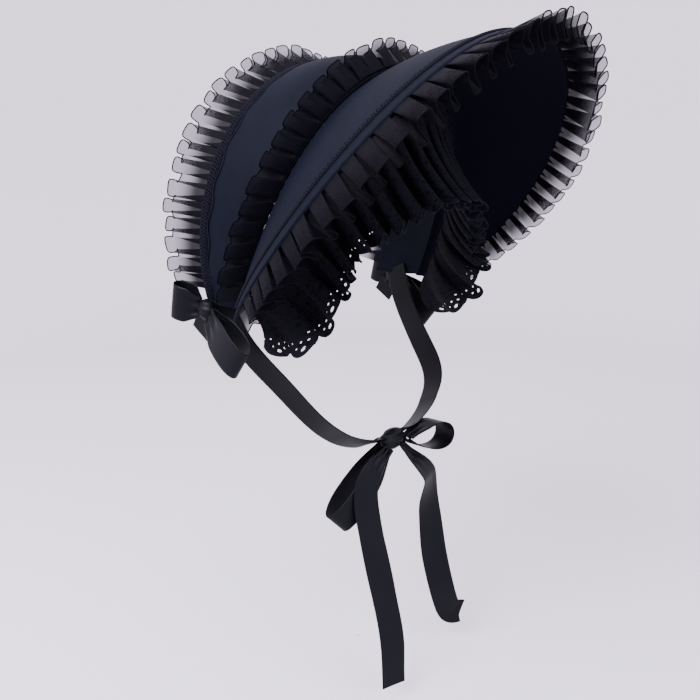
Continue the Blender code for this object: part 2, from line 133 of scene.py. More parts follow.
# Braids. A plait's cords swing by wave and stand off by lift. A trim's cord swings by depth, out from the
# braid's edge at the rear and from the plait's middle on the brim
REAR_BRAID_WIDTH = 0.009
REAR_BRAID_INSET = 0.0015
REAR_BRAID = dict(wave=0.0034, pitch=0.0092, lift=CROWN_WALL + 0.0007, radius=0.0005, reach=0.99, strands=4)
REAR_SCALLOPS = dict(out=1.3 * REAR_BRAID_WIDTH, depth=0.0026, pitch=0.025, radius=0.00045)
REAR_PICOTS = dict(out=0.82 * REAR_BRAID_WIDTH, depth=0.0016, pitch=0.0031, radius=0.00032)
REAR_TRIM_LIFT = CROWN_WALL + 0.0005
BRIM_BRAID_WIDTH = 0.005
BRIM_BRAID_INSET = 0.0075
BRIM_BRAID = dict(wave=0.0013, pitch=0.0046, lift=0.0006, radius=0.00042, reach=0.97, strands=3)
BRIM_PICOTS = dict(out=0.0014, depth=0.0015, pitch=0.0034, radius=0.00034)
BRIM_TRIM_LIFT = 0.0004

# Satin bows at the ears
SIDE_RIBBON_WIDTH = 0.024
SIDE_KNOT_RADIUS = 0.0075
SIDE_KNOT_STAND_OFF = 0.0006
SIDE_KNOT_STATION = 0.99
SIDE_KNOT_DROP = 0.004
SIDE_REAR_LOOP = dict(length=0.023, opening=0.013, way=(0.20, 0.95, 0.22))
SIDE_FRONT_LOOP = dict(length=0.045, opening=0.012, way=(0.06, -0.78, -0.62))
SIDE_END_LENGTH = 0.016
SIDE_END_WIDTH = 0.75 * SIDE_RIBBON_WIDTH
SIDE_END_WAY = (0.05, 0.52, -0.85)

# Ties and the bow under the chin
RIBBON_WIDTH = 0.020
RIBBON_WALL = 0.0004
RIBBON_GATHER = 0.34  # the share of its width that a ribbon loses at its knot
RIBBON_CREASE = 0.0011
RIBBON_WAVE = 0.0004
CHIN_KNOT_RADIUS = 0.008
TUCK = 0.0015  # how far a ribbon goes under its knot
CHIN_DROP = 0.105
CHIN_REACH = 0.0520
# start is where a loop leaves the knot, in knot radii
CHIN_LOOPS = {
    "right": dict(
        length=0.071,
        opening=0.017,
        way=(-0.74, 0.06, -0.67),
        opening_way=(-0.3, -0.95, 0.0),
        start=(-0.3, 1.2, -1.5),
    ),
    "left": dict(
        length=0.040,
        opening=0.020,
        way=(0.98, -0.18, -0.10),
        opening_way=(0.1, 0.1, 1.0),
        start=(1.3, -1.7, 0.1),
    ),
}
TIE_STATION = 0.45
TIE_OVERLAP = 0.0048  # how far the ties go up inside the band's ends
TIE_ROUTE = (
    dict(across=0.00, forward=0.00, down=0.00),
    dict(across=0.08, forward=0.25, down=0.31),
    dict(across=0.27, forward=0.80, down=0.68),
    dict(across=0.50, forward=0.96, down=0.88),
    dict(across=0.78, forward=1.00, down=0.98),
    dict(across=1.00, forward=1.00, down=1.00),
)
# turn is the way a tail's face looks: degrees from forwards, round to the wearer's right
TAILS = {
    "right": (
        dict(left=-0.014, forward=0.005, down=0.008, turn=16.0),
        dict(left=-0.032, forward=0.003, down=0.026, turn=16.0),
        dict(left=-0.035, forward=0.010, down=0.060, turn=16.0),
        dict(left=-0.034, forward=0.022, down=0.105, turn=16.0),
        dict(left=-0.035, forward=0.031, down=0.140, turn=16.0),
        dict(left=-0.039, forward=0.036, down=0.170, turn=16.0),
    ),
    "left": (
        dict(left=0.014, forward=0.020, down=0.012, turn=-38.0),
        dict(left=0.019, forward=0.021, down=0.030, turn=-12.0),
        dict(left=0.024, forward=0.018, down=0.060, turn=14.0),
        dict(left=0.029, forward=0.022, down=0.105, turn=40.0),
        dict(left=0.041, forward=0.028, down=0.152, turn=40.0),
        dict(left=0.050, forward=0.034, down=0.156, turn=40.0),
    ),
}

# The three arches that carry everything
FRONT_TOP = (-0.508 * CROWN_LENGTH, -CROWN_FRONT_DROP)
FRONT_END = (CROWN_END_SETBACK, -CROWN_HEIGHT)
ARCHES = {
    "rear": dict(
        top=(FRONT_TOP[0] + CROWN_LENGTH, -CROWN_REAR_DROP),
        end=(CROWN_END_SETBACK + CROWN_END_LENGTH, -CROWN_HEIGHT),
        half_width=CROWN_REAR_WIDTH / 2,
        sweep=111.0,
        bow=REAR_BOW,
    ),
    "seam": dict(top=FRONT_TOP, end=FRONT_END, half_width=CROWN_FRONT_WIDTH / 2, sweep=97.0, bow=0.0),
    "rim": dict(
        top=(FRONT_TOP[0] - math.sqrt(BRIM_DEPTH**2 - BRIM_RISE**2), FRONT_TOP[1] + BRIM_RISE),
        end=(FRONT_END[0] - BRIM_END_REACH, FRONT_END[1] - BRIM_END_DROP),
        half_width=BRIM_WIDTH / 2,
        sweep=116.0,
        bow=RIM_BOW,
    ),
}


def linear(code):
    """A colour written as sRGB hex, such as "#1b2133", in linear light and opaque."""
    channels = [int(code[k : k + 2], 16) / 255 for k in (1, 3, 5)]
    return [c / 12.92 if c <= 0.04045 else ((c + 0.055) / 1.055) ** 2.4 for c in channels] + [1.0]


def add(tree, kind, inputs=None, **settings):
    """A node with its settings, and its inputs given as values or as the sockets that feed them."""
    made = tree.nodes.new(kind)
    for key, value in settings.items():
        setattr(made, key, value)
    for key, value in (inputs or {}).items():
        if isinstance(value, bpy.types.NodeSocket):
            tree.links.new(value, made.inputs[key])
        else:
            made.inputs[key].default_value = value
    return made


def new_material(name, **sockets):
    """A material's tree and its Principled BSDF, with values set on the shader's own sockets."""
    made = bpy.data.materials.new(name)
    made.use_nodes = True
    tree = made.node_tree
    shader = tree.nodes["Principled BSDF"]
    for key, value in sockets.items():
        shader.inputs[key.replace("_", " ")].default_value = value
    return made, tree, shader


def two_tones(tree, shader, factor, low, high):
    """A base colour that goes from one tone to another as factor goes from 0 to 1."""
    tone = add(tree, "ShaderNodeMix", {"Factor": factor}, data_type="RGBA")
    # The colours are set by place, because a Mix node has sockets of each kind under the same names
    tone.inputs[6].default_value = linear(low)
    tone.inputs[7].default_value = linear(high)
    tree.links.new(tone.outputs[2], shader.inputs["Base Color"])


def wave_scale(period):
    """The scale of a banded wave texture whose bands repeat after period metres along X."""
    return TURN / (20 * period)


def cotton_twill():
    """Midnight navy cotton twill: matt, fine diagonal ribs and a soft bloom where light grazes it."""
    made, tree, shader = new_material(
        "cotton_twill",
        Roughness=0.62,
        Sheen_Weight=0.014,
        Sheen_Roughness=0.5,
        Sheen_Tint=linear("#8d98c8"),
        Specular_IOR_Level=0.06,
    )
    cloth = add(tree, "ShaderNodeUVMap", uv_map="Cloth")
    slant = (0, 0, math.radians(62))
    turned = add(tree, "ShaderNodeMapping", {"Vector": cloth.outputs["UV"], "Rotation": slant})
    # Real ribs lie 0.5 mm apart; these are 0.9 mm apart so that they show
    ribs = add(
        tree,
        "ShaderNodeTexWave",
        {"Vector": turned.outputs["Vector"], "Scale": wave_scale(0.0009), "Distortion": 1.2, "Detail": 1.0},
        wave_type="BANDS",
        bands_direction="X",
    )
    worn = add(tree, "ShaderNodeTexNoise", {"Vector": cloth.outputs["UV"], "Scale": 55.0, "Detail": 4.0})
    two_tones(tree, shader, worn.outputs["Fac"], "#060811", "#0a0e1d")
    bump = add(tree, "ShaderNodeBump", {"Height": ribs.outputs["Fac"], "Strength": 0.22, "Distance": 0.0002})
    soft = add(tree, "ShaderNodeBump", {"Height": worn.outputs["Fac"], "Strength": 0.12, "Distance": 0.002})
    tree.links.new(bump.outputs["Normal"], soft.inputs["Normal"])
    tree.links.new(soft.outputs["Normal"], shader.inputs["Normal"])
    return made


def silk_organza():
    """Black organza: a sheer plain weave of twisted yarns, so its folds darken where they overlap."""
    made, tree, shader = new_material(
        "silk_organza",
        Base_Color=linear("#090810"),
        Roughness=0.55,
        Sheen_Weight=0.01,
        Sheen_Roughness=0.35,
        Sheen_Tint=linear("#9a98b8"),
        Specular_IOR_Level=0.05,
    )
    # The gathers press the yarns together, so the cloth is closed near its seam and sheer 16 mm further out
    cloth = add(tree, "ShaderNodeUVMap", uv_map="Cloth")
    parts = add(tree, "ShaderNodeSeparateXYZ", {"Vector": cloth.outputs["UV"]})
    cover = add(
        tree,
        "ShaderNodeMapRange",
        {"Value": parts.outputs["Y"], "From Min": 0.006, "From Max": 0.022, "To Min": 0.97, "To Max": 0.58},
        interpolation_type="SMOOTHSTEP",
    )
    tree.links.new(cover.outputs["Result"], shader.inputs["Alpha"])
    return made


def black_thread(name, code, roughness):
    """Twisted black thread, as in braid, picots and rolled hems, and the lining's plain weave: matt."""
    return new_material(name, Base_Color=linear(code), Roughness=roughness, Specular_IOR_Level=0.06)[0]


def cotton_lace():
    """Black cotton lace, dense and matt: thread work round cells 3 mm across, drawn in colour only, with
    painted shade making the cells' middles darker as the shadow seen through the lace's openings.
    """
    made, tree, shader = new_material("cotton_lace", Roughness=0.8, Specular_IOR_Level=0.1)
    cloth = add(tree, "ShaderNodeUVMap", uv_map="Cloth")
    cells = add(
        tree,
        "ShaderNodeTexVoronoi",
        {"Vector": cloth.outputs["UV"], "Scale": 1 / CELL_SIZE, "Randomness": 0.7},
        feature="DISTANCE_TO_EDGE",
    )
    edge = {"Value": cells.outputs["Distance"], "From Min": 0.08, "From Max": 0.3}
    thread = add(tree, "ShaderNodeMapRange", edge)
    # Painted shade: the darker tone fills the cells' middles and stands for the shadow seen through the
    # openings, while the lighter tone is the lace thread's own black
    two_tones(tree, shader, thread.outputs["Result"], "#101018", "#040407")
    return made


def satin_ribbon():
    """Polyester satin ribbon: smooth, with a broad soft gloss, faint cross ribs and a firm woven edge."""
    made, tree, shader = new_material(
        "satin_ribbon", Roughness=0.4, Sheen_Weight=0.01, Sheen_Roughness=0.3, Specular_IOR_Level=0.11
    )
    cloth = add(tree, "ShaderNodeUVMap", uv_map="Cloth")
    ribs = add(
        tree,
        "ShaderNodeTexWave",
        {"Vector": cloth.outputs["UV"], "Scale": wave_scale(0.0007), "Distortion": 0.8},
        wave_type="BANDS",
        bands_direction="X",
    )
    faded = add(tree, "ShaderNodeTexNoise", {"Vector": cloth.outputs["UV"], "Scale": 90.0, "Detail": 3.0})
    two_tones(tree, shader, faded.outputs["Fac"], "#09090f", "#0d0d15")
    bump = add(tree, "ShaderNodeBump", {"Height": ribs.outputs["Fac"], "Strength": 0.12, "Distance": 0.0001})
    tree.links.new(bump.outputs["Normal"], shader.inputs["Normal"])
    return made


def seamless_paper():
    """Pale lilac-white backdrop paper, quite matt."""
    colour = linear("#f7f2fc")
    return new_material("seamless_paper", Base_Color=colour, Roughness=0.9, Specular_IOR_Level=0.2)[0]


FINISHES = {
    "twill": cotton_twill(),
    "organza": silk_organza(),
    "lace": cotton_lace(),
    # The braid, picot and frill cord thread is lighter than the other blacks: partly its own dark blue-grey,
    # partly a painted highlight for the glints on its twisted cords
    "thread": black_thread("braid_thread_with_painted_highlight", "#14141e", 0.7),
    "hem": black_thread("rolled_hem_thread", "#050509", 0.75),
    "satin": satin_ribbon(),
    "lining": black_thread("black_lace_lining", "#090815", 0.85),
}


def unit(vectors):
    """The same directions with a length of 1."""
    vectors = np.asarray(vectors, float)
    return vectors / np.linalg.norm(vectors, axis=-1, keepdims=True)


def smoothstep(value, low, high):
    """0 below low, 1 above high, and an easy curve between."""
    share = np.clip((np.asarray(value, float) - low) / (high - low), 0, 1)
    return share * share * (3 - 2 * share)


def arch(name, along):
    """Points of one of the arches; along runs from -1 at the wearer's right ear to 1 at the left."""
    a = ARCHES[name]
    sweep = math.radians(a["sweep"])
    angle = np.asarray(along, float) * sweep
    top, end = np.array(a["top"]), np.array(a["end"])
    rise = (np.cos(angle) - math.cos(sweep)) / (1 - math.cos(sweep))
    up = (top - end) / np.linalg.norm(top - end)
    forward = np.array([-up[1], up[0]])
    plane = end + rise[..., None] * (top - end) + (4 * rise * (1 - rise) * a["bow"])[..., None] * forward
    return np.concatenate([(a["half_width"] * np.sin(angle))[..., None], plane], axis=-1)


def crown_point(along, across):
    """The crown band's inner face; across runs from 0 at the rear edge to 1 at the front edge."""
    along, across = np.broadcast_arrays(along, across)
    rear, front = arch("rear", along), arch("seam", along)
    chord = np.linalg.norm(front - rear, axis=-1)
    bulge = 4 * across * (1 - across) * chord**2 / (8 * HEAD_RADIUS)
    outward = unit((rear + front) / 2 - np.array([0.0, FRONT_END[0], -0.62 * CROWN_HEIGHT]))
    return rear + across[..., None] * (front - rear) + bulge[..., None] * outward


def brim_point(along, across):
    """The brim's outer face; across runs from 0 at the crown's front edge to 1 at the rim."""
    along, across = np.broadcast_arrays(along, across)
    seam, rim = arch("seam", along), arch("rim", along)
    length = np.linalg.norm(rim - seam, axis=-1)
    tangent = unit(arch("seam", along + 0.01) - arch("seam", along - 0.01))
    outward = unit(np.cross(unit(rim - seam), tangent))
    belly = 4 * across * (1 - across) * BRIM_BELLY * length / BRIM_DEPTH
    return seam + across[..., None] * (rim - seam) + belly[..., None] * outward


def brim_length(along):
    """The brim's depth at each station."""
    return np.linalg.norm(arch("rim", along) - arch("seam", along), axis=-1)


def crown_length(along):
    """The crown band's length from front to back at each station."""
    return np.linalg.norm(arch("rear", along) - arch("seam", along), axis=-1)


def path_length(points):
    """The distance along a path to each of its points."""
    return np.concatenate([[0], np.cumsum(np.linalg.norm(np.diff(points, axis=0), axis=1))])


def surface_frame(surface, along, across):
    """Points of a surface with its outward normal and its forward direction there."""
    here = surface(along, across)
    forward = unit(surface(along, across + 0.01) - surface(along, across - 0.01))
    sideways = unit(surface(along + 0.01, across) - surface(along - 0.01, across))
    return here, unit(np.cross(forward, sideways)), forward


def grid_faces(rows, columns, keep=None):
    """Quads of a grid of rows x columns points, and only those where keep is true."""
    index = np.arange(rows * columns).reshape(rows, columns)
    quads = np.stack([index[:-1, :-1], index[:-1, 1:], index[1:, 1:], index[1:, :-1]], axis=-1)
    return quads[keep] if keep is not None else quads.reshape(-1, 4)


def make_piece(name, points, faces, finish, uv=None, wall=0.0, side=0.0, nodes=()):
    """A mesh piece that rides on the bonnet, with any wall it has and the CAD nodes it stands for."""
    used, faces = np.unique(faces, return_inverse=True)
    faces = faces.reshape(-1, 4)
    points = np.asarray(points, float).reshape(-1, 3)[used]
    mesh = bpy.data.meshes.new(name)
    mesh.from_pydata(points.tolist(), [], faces.tolist())
    if uv is not None:
        layer = mesh.uv_layers.new(name="Cloth")
        corners = np.asarray(uv, float).reshape(-1, 2)[used][faces]
        layer.data.foreach_set("uv", corners.astype(np.float32).ravel())
    mesh.materials.append(FINISHES[finish])
    mesh.shade_smooth()
    piece = bpy.data.objects.new(name, mesh)
    bpy.context.scene.collection.objects.link(piece)
    if wall:
        thicken = piece.modifiers.new("wall", "SOLIDIFY")
        thicken.thickness = wall
        thicken.offset = side
    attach(piece, "root")
    if nodes:
        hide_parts(*nodes)
    return piece


def flat_sizes(grid):
    """Distances in metres along the columns and rows of a grid, which give its cloth's own coordinates."""
    flat = np.zeros(grid.shape[:2] + (2,))
    flat[1:, :, 0] = np.cumsum(np.linalg.norm(np.diff(grid, axis=0), axis=-1), axis=0)
    flat[:, 1:, 1] = np.cumsum(np.linalg.norm(np.diff(grid, axis=1), axis=-1), axis=1)
    return flat


def make_cloth(name, grid, finish, wall, side, nodes):
    """A sheet over a whole grid of points."""
    return make_piece(name, grid, grid_faces(*grid.shape[:2]), finish, flat_sizes(grid), wall, side, nodes)


def cord_mesh(paths, up, radius, sides=6, closed=False):
    """Points and quads of round cords. paths is (cords, points, 3), up a direction that no cord follows, and
    each cord is a ring of points carried along its path, closed on itself or drawn in to a blunt end."""
    paths = np.asarray(paths, float)
    up = np.broadcast_to(up, paths.shape)
    if closed:
        tangent = unit(np.roll(paths, -1, axis=1) - np.roll(paths, 1, axis=1))
    else:
        tangent = unit(np.gradient(paths, axis=1))
    across = unit(np.cross(tangent, up))
    other = np.cross(across, tangent)
    turn = TURN * np.arange(sides) / sides
    ring = np.cos(turn)[:, None] * across[..., None, :] + np.sin(turn)[:, None] * other[..., None, :]
    reach = np.broadcast_to(radius, paths.shape[:2])[..., None, None]
    points = paths[:, :, None, :] + reach * ring
    if not closed:
        tips = paths[:, [0, -1], None, :] + 0.15 * reach[:, [0, -1]] * ring[:, [0, -1]]
        points = np.concatenate([tips[:, :1], points, tips[:, 1:]], axis=1)
    cords, count = points.shape[:2]
    index = np.arange(cords * count * sides).reshape(cords, count, sides)
    after = np.roll(index, -1, axis=2)
    last = count if closed else count - 1
    step = np.roll(index, -1, axis=1)[:, :last], np.roll(after, -1, axis=1)[:, :last]
    quads = np.stack([index[:, :last], after[:, :last], step[1], step[0]], axis=-1).reshape(-1, 4)
    if not closed:
        for k in range(0, sides - 2, 3):
            cap = [k, k + 1, k + 2, (k + 3) % sides]
            quads = np.concatenate([quads, index[:, 0, cap[::-1]], index[:, -1, cap]])
    return points.reshape(-1, 3), quads


def make_cords(name, lines, nodes=()):
    """Cords, each given as points and quads, as one piece of thread."""
    starts = np.cumsum([0] + [len(points) for points, _ in lines[:-1]])
    quads = np.concatenate([quads + start for (_, quads), start in zip(lines, starts)])
    make_piece(name, np.concatenate([points for points, _ in lines]), quads, "thread", nodes=nodes)


def uneven(count, seed, size):
    """A steady random value for each of count folds, from -size to size."""
    return size * (2 * np.random.default_rng(seed).random(count) - 1)


def between_folds(turn, values):
    """Values given for each fold, eased from one fold to the next; turn counts the folds."""
    index = np.clip(np.floor(turn).astype(int), 0, len(values) - 1)
    after = np.minimum(index + 1, len(values) - 1)
    share = smoothstep(turn - index, 0, 1)
    return values[index] * (1 - share) + values[after] * share


def make_crown_band():
    """The crown band: its inner face is an arch-to-arch sheet that bulges over the head, and near both edges
    it is drawn in by the stitches, a ripple of 0.25 mm every 7 mm."""
    along = np.linspace(-1, 1, 401)[:, None]
    across = np.linspace(0, 1, 33)[None, :]
    grid, outward, _ = surface_frame(crown_point, along, across)
    edge = np.exp(-across / 0.10) + 0.6 * np.exp(-(1 - across) / 0.12)
    arc = flat_sizes(grid)[..., 0]
    ripple = 0.00025 * edge * np.sin(TURN * arc / 0.007 + 2 * np.sin(arc / 0.021))
    slack = 0.0005 * np.sin(math.pi * across) * np.sin(arc / 0.019 + 1.7 * np.sin(arc / 0.043))
    grid = grid + (ripple + slack)[..., None] * outward
    make_cloth("crown_band_twill", grid, "twill", CROWN_WALL, 1.0, ["crown_band"])


def make_brim():
    """The stiff brim, thickened inwards from its outer face and lined in black, with a faint ripple at its
    sewn rim. It starts a little behind the seam, under the seam ruffle."""
    along = np.linspace(-1, 1, 441)[:, None]
    across = np.linspace(-0.02, 1, 38)[None, :] + 0 * along
    grid, outward, _ = surface_frame(brim_point, along, across)
    edge = 0.9 * np.exp(-(1 - across) / 0.06)
    arc = flat_sizes(grid)[..., 0]
    ripple = 0.00022 * edge * np.sin(TURN * arc / 0.008 + 1.5 * np.sin(arc / 0.017))
    grid = grid + ripple[..., None] * outward
    brim = make_cloth("brim_twill", grid, "twill", BRIM_WALL, -1.0, ["brim"])
    brim.data.materials.append(FINISHES["lining"])
    brim.modifiers["wall"].material_offset = 1


def leaning(outward, forward, degrees):
    """A direction turned from forward towards outward, and the outward one turned with it."""
    lean = np.radians(degrees)[:, None]
    return np.cos(lean) * forward + np.sin(lean) * outward, np.cos(lean) * outward - np.sin(lean) * forward


def ruffle_grid(ruffle, frame_at, seed, ear_width=1.0):
    """A gathered strip. Across its width a point goes out from the seam, swings to both sides as a rounded
    sine of the fold's turn, and slides along the seam as a sine of twice that turn, so that each fold is a
    loop that laps over its neighbours, most of all near the seam. A cosine of the turn makes the outer loops
    wider than the inner ones. Fold by fold the phase, swing, width and lean differ a little."""
    steps, rows = 30, 14
    count = ruffle["folds"]
    stations = np.linspace(-ruffle["reach"], ruffle["reach"], steps * count + 1)
    foot, out, side = frame_at(stations)
    along = unit(np.gradient(foot, axis=0))
    pitch = path_length(foot)[-1] / count
    turn = (stations / ruffle["reach"] + 1) * count / 2
    phase = TURN * (turn + between_folds(turn, uneven(count + 1, seed, 0.12)))
    calm = 0.35 + 0.65 * smoothstep(count / 2 - np.abs(turn - count / 2), 0.0, 1.4)
    swing = ruffle["swing"] * calm * (1 + between_folds(turn, uneven(count + 1, seed + 1, 0.25)))
    width = ruffle["width"] * (1 - (1 - ear_width) * np.clip(2.2 * np.abs(stations) - 1.2, 0, 1))
    width = width * (1 + between_folds(2 * turn, uneven(2 * count + 1, seed + 2, 0.06)))
    lean = between_folds(turn, uneven(count + 1, seed + 3, 0.45))
    share = np.linspace(0, 1, rows)
    rise = 0.10 + 0.90 * share**0.9
    loop = np.sin(phase)[:, None]
    wave = np.tanh(1.6 * loop) / math.tanh(1.6)
    lap = ruffle["overlap"] + 0.17 * (1 - share) ** 1.3
    slide = -lap * pitch * np.sin(2 * phase)[:, None] - 0.12 * pitch * rise * np.cos(phase)[:, None]
    slide = slide + 0.12 * pitch * lean[:, None] * share**2
    sway = swing[:, None] * rise * (wave + ruffle["lift"])
    length = width[:, None] * share * (1 - 0.15 * (1 - np.abs(loop)) ** 1.5 * share)
    length = length - 0.45 * (swing[:, None] * rise * wave) ** 2 / ruffle["width"]
    grid = foot[:, None] + length[..., None] * out[:, None] + sway[..., None] * side[:, None]
    return grid + slide[..., None] * along[:, None]


def make_ruffle(name, grid, node):
    """A sheer ruffle and the rolled hem along its free edge."""
    piece = make_cloth(name, grid, "organza", 0.0, 0.0, [node])
    edge = grid[:, -1]
    points, quads = cord_mesh(edge[None], unit(edge - grid[:, -2])[None], HEM_RADIUS)
    hem = make_piece(name + "_hem", points, quads, "hem")
    # The strip's cut length is taken as the mean length of its rows, from the gathered seam to the hem
    length = float(flat_sizes(grid)[-1, :, 0].mean())


def rear_ruffle_frame(stations):
    """Seam points behind the crown band. The ruffle stands up at the top and lies flatter at the ears."""
    here, outward, forward = surface_frame(crown_point, stations, 0 * stations)
    lean = REAR_LEAN_TOP + (REAR_LEAN_EAR - REAR_LEAN_TOP) * stations**4
    out, side = leaning(outward, -forward, lean)
    return here + 0.5 * CROWN_WALL * outward + CLOTH_WALL * forward, out, side


def seam_ruffle_frame(stations):
    """Seam points on the front of the crown band, where the ruffle leans back over it."""
    across = 1 - SEAM_RUFFLE_SETBACK / crown_length(stations)
    here, outward, forward = surface_frame(crown_point, stations, across)
    out, side = leaning(outward, -forward, SEAM_LEAN + 0 * stations)
    return here + (CROWN_WALL + CLOTH_WALL + SEWN_GAP) * outward, out, side


def rim_ruffle_frame(stations):
    """Seam points at the rim. The ruffle carries the brim on and turns in towards the face at the sides."""
    rim, outward, forward = surface_frame(brim_point, stations, 1 + 0 * stations)
    lean = RIM_LEAN_TOP + (RIM_LEAN_EAR - RIM_LEAN_TOP) * np.abs(stations) ** 0.7
    along = unit(np.gradient(rim, axis=0))
    square = unit(forward - np.sum(forward * along, axis=-1, keepdims=True) * along)
    out, side = leaning(outward, square, lean)
    return rim - 0.5 * BRIM_WALL * outward - CLOTH_WALL * forward, out, side


def make_ruffles():
    """The three organza ruffles."""
    rear = ruffle_grid(REAR_RUFFLE, rear_ruffle_frame, 11)
    make_ruffle("rear_ruffle_organza", rear, "rear_ruffle")
    seam = ruffle_grid(SEAM_RUFFLE, seam_ruffle_frame, 23)
    make_ruffle("seam_ruffle_organza", seam, "seam_ruffle")
    rim = ruffle_grid(RIM_RUFFLE, rim_ruffle_frame, 37, RIM_EAR_WIDTH)
    make_ruffle("rim_ruffle_organza", rim, "rim_ruffle")


def hang_of(column, stations):
    """One column of the frill's table at each station."""
    known = [row["station"] for row in FRILL_HANG]
    return np.interp(np.abs(stations), known, [row[column] for row in FRILL_HANG])


def frill_point(stations, share):
    """The frill's cloth: it hangs from its seam inside the brim at the table's angle, belly inwards, and is
    gathered into folds that swing and slide like a ruffle's and deepen towards the free edge."""
    below, inward = np.radians(hang_of("below", stations)), hang_of("inward", stations)
    turned = np.tanh(40 * stations)
    down = unit(np.stack([-turned * inward, -np.cos(below), -np.sin(below)], axis=-1))
    seat, outward, forward = surface_frame(brim_point, stations, FRILL_SETBACK / brim_length(stations))
    foot = seat - (BRIM_WALL + CLOTH_WALL + SEWN_GAP) * outward
    along = np.cross(outward, forward)
    side = unit(np.cross(down, along))
    turn = (stations / FRILL_REACH + 1) * FRILL_FOLDS / 2
    phase = TURN * (turn + between_folds(turn, uneven(FRILL_FOLDS + 1, 51, 0.12)))
    calm = 0.35 + 0.65 * smoothstep(FRILL_FOLDS / 2 - np.abs(turn - FRILL_FOLDS / 2), 0.0, 1.2)
    swing = FRILL_SWING * calm * (1 + between_folds(turn, uneven(FRILL_FOLDS + 1, 52, 0.25)))
    rise = np.clip(share, 0, 1) ** 0.7
    drape = 4 * share * (1 - share) * 0.009 + swing * rise * np.sin(phase)
    slide = -0.0022 * rise * np.sin(2 * phase)
    fine = 0.0008 * np.sin(4 * phase) * np.exp(-share / 0.25)
    length = share * hang_of("width", stations)
    point = foot + length[..., None] * down - (drape + fine)[..., None] * side
    return point + slide[..., None] * unit(along)


def lace_station(a):
    """The frill's station at a distance along the flat lace."""
    return (2 * a / LACE_LENGTH - 1) * FRILL_REACH


def scallop(a):
    """How far off a scallop's middle line each distance along the lace is, and the edge's height there."""
    across = (a / SCALLOP_PITCH - np.floor(a / SCALLOP_PITCH) - 0.5) * SCALLOP_PITCH
    return across, SCALLOP_DEPTH * np.abs(2 * across / SCALLOP_PITCH) ** SCALLOP_ROUNDNESS


def lace_field(a, b):
    """How far each point of the flat lace lies inside its thread work, in metres, where less than 0 is open.
    a runs along the lace and b up from the tips of its scallops."""
    across, edge = scallop(a)
    field = 0.85 * (b - edge)
    for x, y, radius in LACE_HOLES:
        apart = across - x
        apart = apart - SCALLOP_PITCH * np.round(apart / SCALLOP_PITCH)
        field = np.minimum(field, np.hypot(apart, b - y) - radius)
    return field


def make_frill_half(name, first, last):
    """The frill from one share of its length to another: a flat grid, its points near an opening's edge
    drawn onto it and its open quads left out, that is then hung in its folds."""
    start, end = round(first * LACE_LENGTH / LACE_CELL), round(last * LACE_LENGTH / LACE_CELL)
    a = np.arange(start, end + 1) * LACE_CELL
    b = np.arange(0, LACE_NET_TOP + LACE_CELL, LACE_CELL)
    top = np.linspace(b[-1], LACE_DEPTH, LACE_ROWS)[1:]
    a, b = np.meshgrid(a, np.concatenate([b, top]), indexing="ij")
    field = lace_field(a, b)
    slope_a, slope_b = np.gradient(field, a[:, 0], b[0])
    steep = np.maximum(slope_a**2 + slope_b**2, 0.3)
    near = (np.abs(field) < 0.62 * LACE_CELL) & (b < LACE_NET_TOP)
    a = a - np.where(near, field * slope_a / steep, 0)
    b = b - np.where(near, field * slope_b / steep, 0)
    stations = lace_station(a)
    width = hang_of("width", stations)
    share = 1 - b / width
    corners = [field[:-1, :-1], field[1:, :-1], field[:-1, 1:], field[1:, 1:]]
    keep = (sum(corners) / 4 > 0) & (share[:-1, :-1] > 0) & (share[1:, 1:] > 0)
    flat = np.stack([a, b], axis=-1)
    grid = frill_point(stations, share)
    faces = grid_faces(*a.shape, keep=keep)
    piece = make_piece(name, grid, faces, "lace", flat, LACE_WALL, 0.0, ["lace_frill"])


def make_frill_cords():
    """The cords along the scallops and above them, and two rings in each scallop."""

    def hung(a, b):
        stations = lace_station(a)
        return frill_point(stations, 1 - b / hang_of("width", stations))

    a = np.linspace(0.0002, LACE_LENGTH - 0.0002, 26 * FRILL_SCALLOPS)
    across, edge = scallop(a)
    wavy = WAVY_CORD["up"] + WAVY_CORD["wave"] * np.cos(TURN * across / SCALLOP_PITCH)
    lines = []
    for b, cord in ((edge + EDGE_CORD["up"], EDGE_CORD), (wavy, WAVY_CORD)):
        path = hung(a, b)
        lines.append(cord_mesh(path[None], unit(hung(a, b + 0.001) - path)[None], cord["radius"], 4))
    turn = np.linspace(0, TURN, 14, endpoint=False)
    middles = (np.arange(FRILL_SCALLOPS) + 0.5)[:, None] * SCALLOP_PITCH
    for ring in LACE_RINGS:
        ring_a = middles + ring["radius"] * np.cos(turn)
        ring_b = ring["up"] + ring["radius"] * np.sin(turn) + 0 * middles
        path = hung(ring_a, ring_b)
        middle = hung(middles, ring["up"] + 0 * middles)
        lines.append(cord_mesh(path, unit(path - middle), ring["cord"], 4, closed=True))
    make_cords("lace_frill_cords", lines)


def braid_lines(surface, length_of, centre, braid):
    """Cords plaited along a surface: each swings as a sine, a share of a turn behind the last, and rises and
    falls at twice that rate, so that they pass over and under each other."""
    stations = np.linspace(-braid["reach"], braid["reach"], 1800)
    arc = path_length(surface(stations, 0.5 + 0 * stations))
    lines = []
    for strand in range(braid["strands"]):
        phase = TURN * (arc / braid["pitch"] + strand / braid["strands"])
        across = centre(stations) + braid["wave"] * np.sin(phase) / length_of(stations)
        here, outward, _ = surface_frame(surface, stations, across)
        path = here + (braid["lift"] + 0.7 * braid["radius"] * np.cos(2 * phase))[:, None] * outward
        lines.append(cord_mesh(path[None], outward[None], braid["radius"], 4))
    return lines


def trim_line(surface, stations, across, lift, radius):
    """A thin cord that follows a surface at the given places across it."""
    here, outward, _ = surface_frame(surface, stations, across)
    return cord_mesh((here + lift * outward)[None], outward[None], radius, 4)


